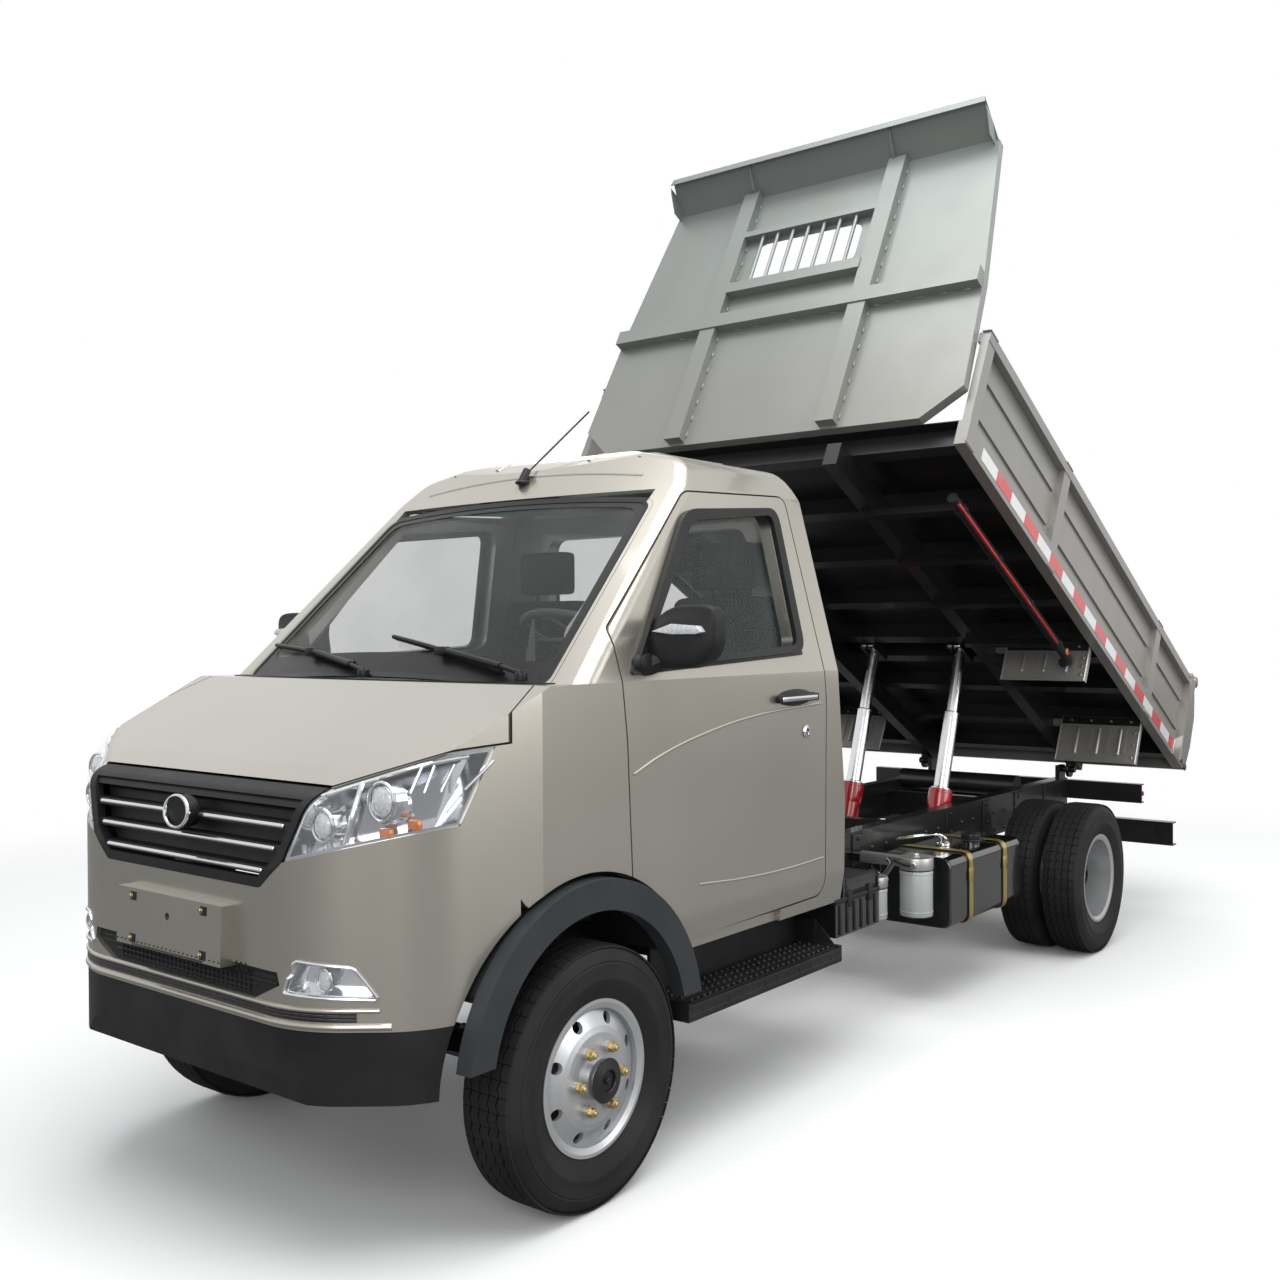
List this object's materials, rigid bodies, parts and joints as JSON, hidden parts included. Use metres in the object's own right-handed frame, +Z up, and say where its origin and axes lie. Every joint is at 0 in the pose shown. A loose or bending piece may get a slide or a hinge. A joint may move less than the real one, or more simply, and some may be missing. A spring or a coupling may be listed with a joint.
{
  "type": "dump truck",
  "caption": "Light dump truck with a short-nosed single cab, ladder frame, twin rear tyres and a steel load bed raised by telescopic cylinders.",
  "frame": {"origin": "on the ground under the middle of the bounding box", "axes": "+Z up, the front of the truck faces -Y, +X is the truck's left side"},
  "size_m": [1.852, 5.4204, 3.5322],
  "materials": {
    "cab_paint": "metallic gloss",
    "frame_black": "satin",
    "cast_parts": "painted",
    "cabin_plastic": "grained",
    "black_plastic": "grained",
    "trim_black": "satin",
    "seat_fabric": "woven",
    "glass": "clear, light green tint",
    "lens": "clear",
    "lamp_bowl": "bright",
    "red_lamp": "gloss",
    "tank_black": "gloss",
    "tyre": "matte",
    "rim_silver": "silver paint",
    "bed_grey": "metallic satin",
    "cylinder_red": "gloss",
    "cylinder_steel": "polished"
  },
  "bodies": {
    "chassis": {"frame_rails": "frame_black", "cross_members": "frame_black", "subframe": "frame_black", "front_axle": "frame_black", "rear_axle": "frame_black", "leaf_springs": "frame_black", "driveline": "cast_parts", "cab_floor": "cabin_plastic", "cab_rear_wall": "cab_paint", "cab_roof": "cab_paint", "cab_sides": "cab_paint", "wings": "cab_paint", "wheel_liners": "black_plastic", "wheel_flares": "black_plastic", "bumper": "cab_paint", "bumper_valance": "black_plastic", "grille": "black_plastic", "headlamps": "lamp_bowl", "lamp_lenses": "lens", "cowl": "black_plastic", "wipers": "trim_black", "cab_glass": "glass", "dashboard": "cabin_plastic", "seats": "seat_fabric", "fuel_tank": "tank_black", "side_boxes": "tank_black", "steps": "black_plastic", "rear_beams": "frame_black", "tail_lamps": "red_lamp", "antenna": "trim_black"},
    "bonnet": {"bonnet": "cab_paint"},
    "door_left": {"door_left": "cab_paint", "door_left_glass": "glass", "door_left_fittings": "black_plastic"},
    "door_right": {"door_right": "cab_paint", "door_right_glass": "glass", "door_right_fittings": "black_plastic"},
    "steering_wheel": {"steering_wheel": "cabin_plastic"},
    "knuckle_left": {"knuckle_left": "cast_parts"},
    "knuckle_right": {"knuckle_right": "cast_parts"},
    "tie_rod": {"tie_rod": "cast_parts"},
    "wheel_front_left": {"tyre_front_left": "tyre", "rim_front_left": "rim_silver"},
    "wheel_front_right": {"tyre_front_right": "tyre", "rim_front_right": "rim_silver"},
    "wheel_rear_left": {"tyre_rear_left": "tyre", "rim_rear_left": "rim_silver"},
    "wheel_rear_right": {"tyre_rear_right": "tyre", "rim_rear_right": "rim_silver"},
    "bed": {"bed_floor": "bed_grey", "bed_sills": "frame_black", "bed_cross_members": "frame_black", "bed_sides": "bed_grey", "headboard": "bed_grey", "bed_guards": "bed_grey"},
    "tailgate": {"tailgate": "bed_grey"},
    "cylinder_barrels": {"cylinder_barrels": "cylinder_red"},
    "cylinder_stages": {"cylinder_stages": "cylinder_steel"},
    "cylinder_rods": {"cylinder_rods": "cylinder_steel"}
  },
  "joints": [
    {"name": "bed_tip", "type": "hinge", "parent": "chassis", "child": "bed", "pos_m": [0, 2.24051, 0.715], "axis": [-1, 0, 0], "range_deg": [-27.9, 0]},
    {"name": "tailgate_swing", "type": "hinge", "parent": "bed", "child": "tailgate", "pos_m": [0, 2.67681, 1.1629], "axis": [1, 0, 0], "range_deg": [0, 70]},
    {"name": "barrels_pivot", "type": "hinge", "parent": "chassis", "child": "cylinder_barrels", "pos_m": [0, 0.94651, 0.3], "axis": [-1, 0, 0], "range_deg": [-3.3, 0.1]},
    {"name": "stages_slide", "type": "slide", "parent": "cylinder_barrels", "child": "cylinder_stages", "axis": [0, 0.33, 0.944], "range_m": [-0.2725, 0]},
    {"name": "rods_slide", "type": "slide", "parent": "cylinder_stages", "child": "cylinder_rods", "axis": [0, 0.33, 0.944], "range_m": [-0.2725, 0]},
    {"name": "bonnet_hinge", "type": "hinge", "parent": "chassis", "child": "bonnet", "pos_m": [0, -2.04949, 1.33], "axis": [-1, 0, 0], "range_deg": [0, 55]},
    {"name": "door_left_hinge", "type": "hinge", "parent": "chassis", "child": "door_left", "pos_m": [0.728, -1.81449, 1], "axis": [0, 0, -1], "range_deg": [0, 65]},
    {"name": "door_right_hinge", "type": "hinge", "parent": "chassis", "child": "door_right", "pos_m": [-0.728, -1.81449, 1], "axis": [0, 0, 1], "range_deg": [0, 65]},
    {"name": "steering_turn", "type": "hinge", "parent": "chassis", "child": "steering_wheel", "pos_m": [0.35, -1.55549, 1.431], "axis": [0, 0.3811, 0.9245], "range_deg": [-512, 512]},
    {"name": "steer_left", "type": "hinge", "parent": "chassis", "child": "knuckle_left", "pos_m": [0.56, -1.97949, 0.33], "axis": [0, 0, 1], "range_deg": [-32, 32]},
    {"name": "steer_right", "type": "hinge", "parent": "chassis", "child": "knuckle_right", "pos_m": [-0.56, -1.97949, 0.33], "axis": [0, 0, 1], "range_deg": [-32, 32]},
    {"name": "tie_rod_pivot", "type": "hinge", "parent": "knuckle_left", "child": "tie_rod", "pos_m": [0.56, -1.82949, 0.303], "axis": [0, 0, 1], "range_deg": [-32, 32]},
    {"name": "roll_front_left", "type": "hinge", "parent": "knuckle_left", "child": "wheel_front_left", "pos_m": [0.672, -1.97949, 0.33], "axis": [1, 0, 0], "continuous": true},
    {"name": "roll_front_right", "type": "hinge", "parent": "knuckle_right", "child": "wheel_front_right", "pos_m": [-0.672, -1.97949, 0.33], "axis": [1, 0, 0], "continuous": true},
    {"name": "roll_rear_left", "type": "hinge", "parent": "chassis", "child": "wheel_rear_left", "pos_m": [0.688, 1.38051, 0.33], "axis": [1, 0, 0], "continuous": true},
    {"name": "roll_rear_right", "type": "hinge", "parent": "chassis", "child": "wheel_rear_right", "pos_m": [-0.688, 1.38051, 0.33], "axis": [1, 0, 0], "continuous": true}
  ],
  "couplings": [
    {"joint": "barrels_pivot", "follows": "bed_tip", "ratio": 0.11577},
    {"joint": "stages_slide", "follows": "bed_tip", "m_per_rad": 0.55756},
    {"joint": "rods_slide", "follows": "bed_tip", "m_per_rad": 0.55756},
    {"joint": "steer_left", "follows": "steering_turn", "ratio": 0.0625},
    {"joint": "steer_right", "follows": "steering_turn", "ratio": 0.0625},
    {"joint": "tie_rod_pivot", "follows": "steering_turn", "ratio": -0.0625}
  ]
}
